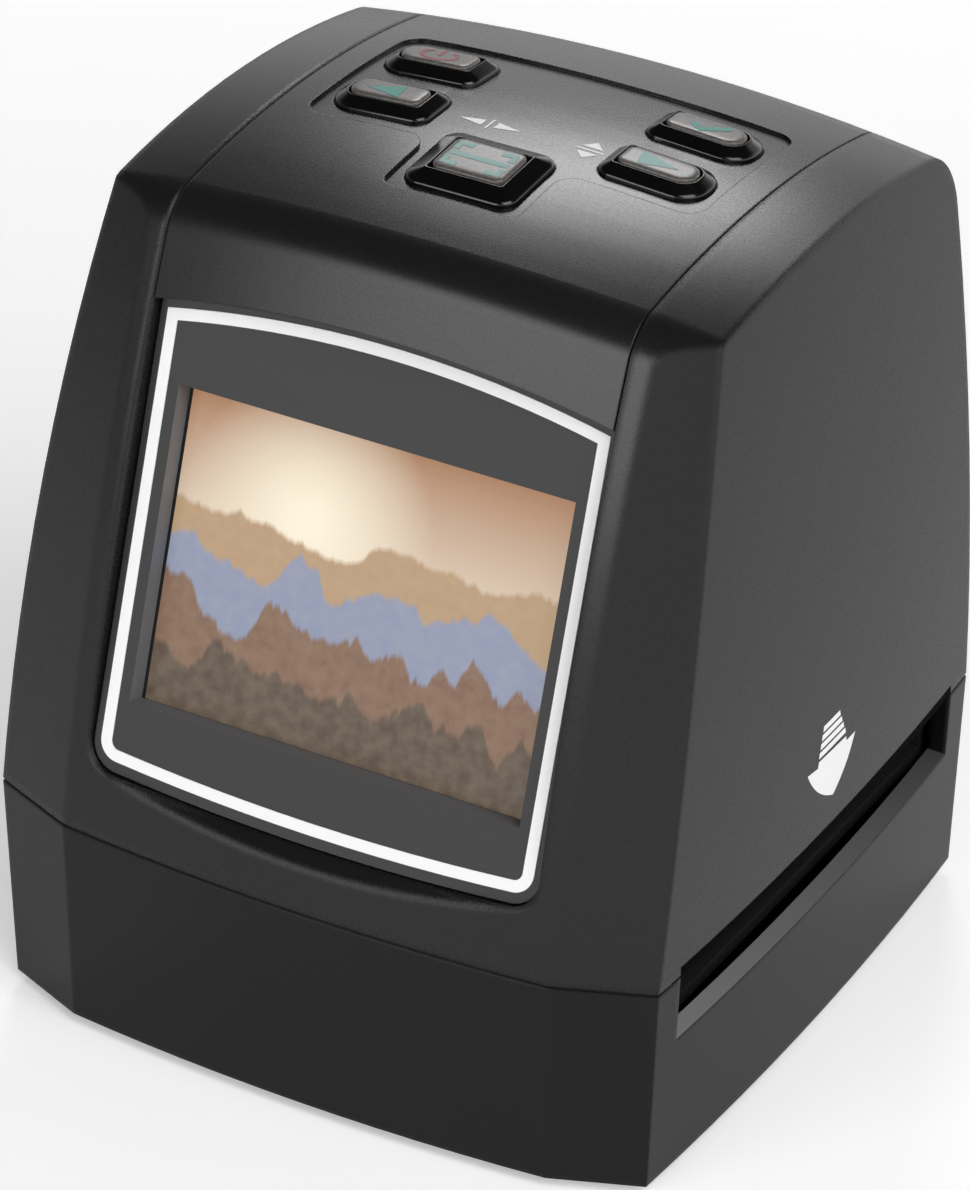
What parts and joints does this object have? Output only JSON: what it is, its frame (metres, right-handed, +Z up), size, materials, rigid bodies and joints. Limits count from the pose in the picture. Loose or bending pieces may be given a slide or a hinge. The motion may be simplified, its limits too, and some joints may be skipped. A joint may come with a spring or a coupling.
{
  "type": "film negative scanner",
  "caption": "Desktop film scanner with a sloping screen, push keys on the crown and a film slot through both sides.",
  "frame": {"origin": "centre of the footprint on the table", "axes": "X across the front with +X at the viewer's right, -Y towards the front, +Z up"},
  "size_m": [0.087, 0.082, 0.1031],
  "materials": {
    "housing_black": "fine satin texture",
    "cover_black": "fine satin texture",
    "rear_black": "fine satin texture",
    "base_black": "fine satin texture",
    "bezel_grey": "satin",
    "trim_white": "satin",
    "lcd_glass": "screen showing a picture",
    "lcd_steel": "sheet",
    "gloss_black": "high gloss",
    "key_caps": "translucent satin",
    "circuit_board": "solder mask",
    "switch_plastic": "moulded",
    "track_black": "matt",
    "diffuser_white": "opal",
    "reflector_white": "matt",
    "lamp_board_white": "white solder mask",
    "led_yellow": "phosphor",
    "lens_glass": "polished",
    "sensor_ceramic": "smooth",
    "chip_black": "moulded",
    "socket_steel": "nickel plated",
    "foot_rubber": "matt",
    "screw_steel": "zinc plated"
  },
  "bodies": {
    "scanner": {"upper_housing": "housing_black", "top_cover": "cover_black", "rear_panel": "rear_black", "lower_housing": "base_black", "front_bezel": "bezel_grey", "bezel_trim": "trim_white", "lcd_panel": "lcd_glass", "lcd_frame": "lcd_steel", "key_surround": "gloss_black", "key_board": "circuit_board", "key_switches": "switch_plastic", "film_track": "track_black", "gate_plate": "track_black", "diffuser": "diffuser_white", "light_box": "reflector_white", "backlight_board": "lamp_board_white", "backlight_leds": "led_yellow", "lens_tower": "track_black", "lens_barrel": "track_black", "lens_glass": "lens_glass", "sensor_board": "circuit_board", "image_sensor": "sensor_ceramic", "main_board": "circuit_board", "main_chips": "chip_black", "usb_socket": "socket_steel", "av_jack": "switch_plastic", "sd_socket": "socket_steel", "rubber_feet": "foot_rubber", "base_screws": "screw_steel"},
    "power_key_body": {"power_key": "key_caps"},
    "left_key_body": {"left_key": "key_caps"},
    "ok_key_body": {"ok_key": "key_caps"},
    "right_key_body": {"right_key": "key_caps"},
    "scan_key_body": {"scan_key": "key_caps"}
  },
  "joints": [
    {"name": "power_press", "type": "slide", "parent": "scanner", "child": "power_key_body", "axis": [0.0616, -0.0911, -0.9939], "range_m": [0, 0.0007], "stiffness_N_per_m": 600, "springref_m": -0.0005},
    {"name": "left_press", "type": "slide", "parent": "scanner", "child": "left_key_body", "axis": [0.0618, -0.0104, -0.998], "range_m": [0, 0.0007], "stiffness_N_per_m": 600, "springref_m": -0.0005},
    {"name": "ok_press", "type": "slide", "parent": "scanner", "child": "ok_key_body", "axis": [-0.0616, -0.0911, -0.9939], "range_m": [0, 0.0007], "stiffness_N_per_m": 600, "springref_m": -0.0005},
    {"name": "right_press", "type": "slide", "parent": "scanner", "child": "right_key_body", "axis": [-0.0618, -0.0104, -0.998], "range_m": [0, 0.0007], "stiffness_N_per_m": 600, "springref_m": -0.0005},
    {"name": "scan_press", "type": "slide", "parent": "scanner", "child": "scan_key_body", "axis": [0, 0.0607, -0.9982], "range_m": [0, 0.0007], "stiffness_N_per_m": 600, "springref_m": -0.0005}
  ]
}
